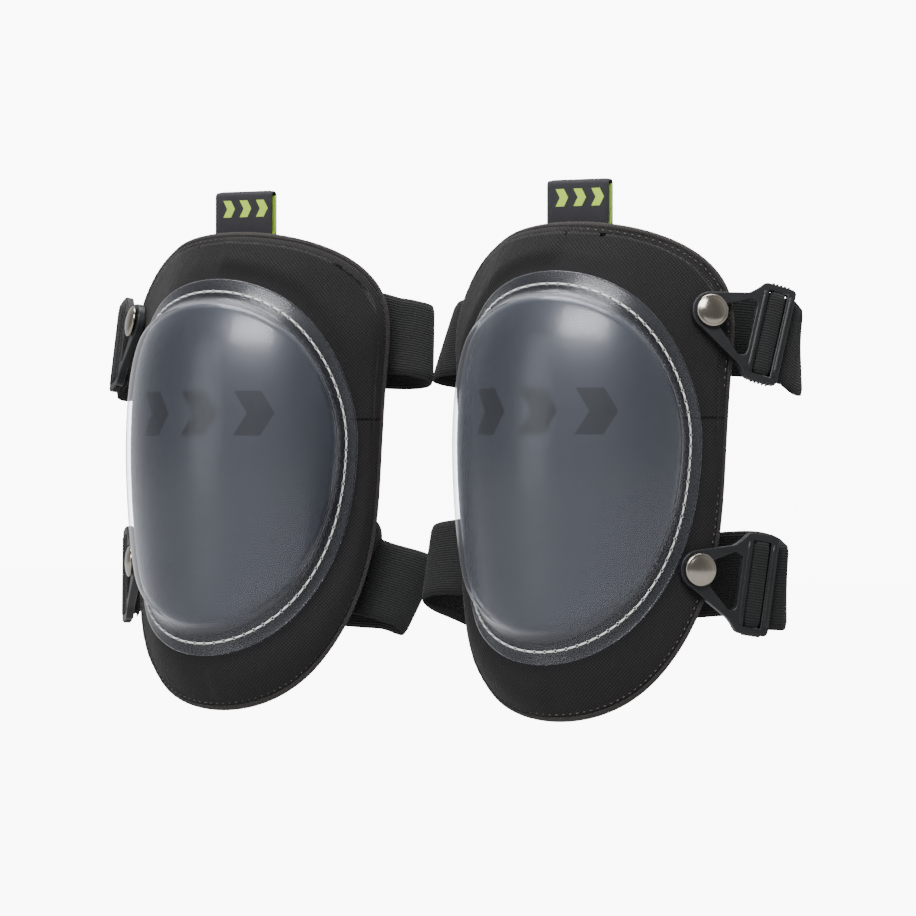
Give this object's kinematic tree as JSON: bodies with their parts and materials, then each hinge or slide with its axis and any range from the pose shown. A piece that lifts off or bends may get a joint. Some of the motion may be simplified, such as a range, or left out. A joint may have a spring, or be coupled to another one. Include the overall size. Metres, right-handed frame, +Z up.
{
  "type": "strap-on knee pads",
  "caption": "Pair of soft knee pads with clear domed caps, side straps, and triangular clips that swivel on metal studs.",
  "frame": {"origin": "midway between the wearer's two knees, level with their centres, 120 mm above the pads' lowest points", "axes": "+X towards the wearer's left pad, -Y the way the caps face, +Z up the leg"},
  "size_m": [0.374, 0.1, 0.2474],
  "materials": {
    "shell_fabric": "matte",
    "liner_fabric": "matte",
    "foam": "matte",
    "gel": "gloss",
    "clear_tpu": "gloss",
    "grey_panel": "satin",
    "thread": "matte",
    "strap_elastic": "matte",
    "clip_plastic": "satin",
    "stud_metal": "satin",
    "lime_weave": "matte"
  },
  "bodies": {
    "left_pad": {"left_front_cover": "shell_fabric", "left_foam_core": "foam", "left_gel_insert": "gel", "left_rear_liner": "liner_fabric", "left_edge_binding": "shell_fabric", "left_cap_panel": "grey_panel", "left_clear_cap": "clear_tpu", "left_cap_stitching": "thread", "left_pull_tab": "strap_elastic", "left_tab_lining": "lime_weave", "left_upper_strap": "strap_elastic", "left_upper_strap_tail": "strap_elastic", "left_upper_stud_head": "stud_metal", "left_upper_stud_post": "stud_metal", "left_upper_stud_washer": "stud_metal", "left_lower_strap": "strap_elastic", "left_lower_strap_tail": "strap_elastic", "left_lower_stud_head": "stud_metal", "left_lower_stud_post": "stud_metal", "left_lower_stud_washer": "stud_metal"},
    "left_upper_clip": {"left_upper_clip": "clip_plastic", "left_upper_strap_end": "strap_elastic"},
    "left_lower_clip": {"left_lower_clip": "clip_plastic", "left_lower_strap_end": "strap_elastic"},
    "right_pad": {"right_front_cover": "shell_fabric", "right_foam_core": "foam", "right_gel_insert": "gel", "right_rear_liner": "liner_fabric", "right_edge_binding": "shell_fabric", "right_cap_panel": "grey_panel", "right_clear_cap": "clear_tpu", "right_cap_stitching": "thread", "right_pull_tab": "strap_elastic", "right_tab_lining": "lime_weave", "right_upper_strap": "strap_elastic", "right_upper_strap_tail": "strap_elastic", "right_upper_stud_head": "stud_metal", "right_upper_stud_post": "stud_metal", "right_upper_stud_washer": "stud_metal", "right_lower_strap": "strap_elastic", "right_lower_strap_tail": "strap_elastic", "right_lower_stud_head": "stud_metal", "right_lower_stud_post": "stud_metal", "right_lower_stud_washer": "stud_metal"},
    "right_upper_clip": {"right_upper_clip": "clip_plastic", "right_upper_strap_end": "strap_elastic"},
    "right_lower_clip": {"right_lower_clip": "clip_plastic", "right_lower_strap_end": "strap_elastic"}
  },
  "joints": [
    {"name": "left_upper_clip_swivel", "type": "hinge", "parent": "left_pad", "child": "left_upper_clip", "pos_m": [0.15409, 0.00107, 0.0655], "axis": [0.6733, -0.717, 0.1803], "range_deg": [-18, 18]},
    {"name": "left_lower_clip_swivel", "type": "hinge", "parent": "left_pad", "child": "left_lower_clip", "pos_m": [0.15051, -0.00481, -0.0505], "axis": [0.7455, -0.6658, 0.0302], "range_deg": [-18, 18]},
    {"name": "right_upper_clip_swivel", "type": "hinge", "parent": "right_pad", "child": "right_upper_clip", "pos_m": [-0.15409, 0.00107, 0.0655], "axis": [-0.6733, -0.717, 0.1803], "range_deg": [-18, 18]},
    {"name": "right_lower_clip_swivel", "type": "hinge", "parent": "right_pad", "child": "right_lower_clip", "pos_m": [-0.15051, -0.00481, -0.0505], "axis": [-0.7455, -0.6658, 0.0302], "range_deg": [-18, 18]},
    {"name": "right_pad_apart", "type": "slide", "parent": "left_pad", "child": "right_pad", "axis": [-1, 0, 0], "range_m": [0, 0.12]}
  ]
}
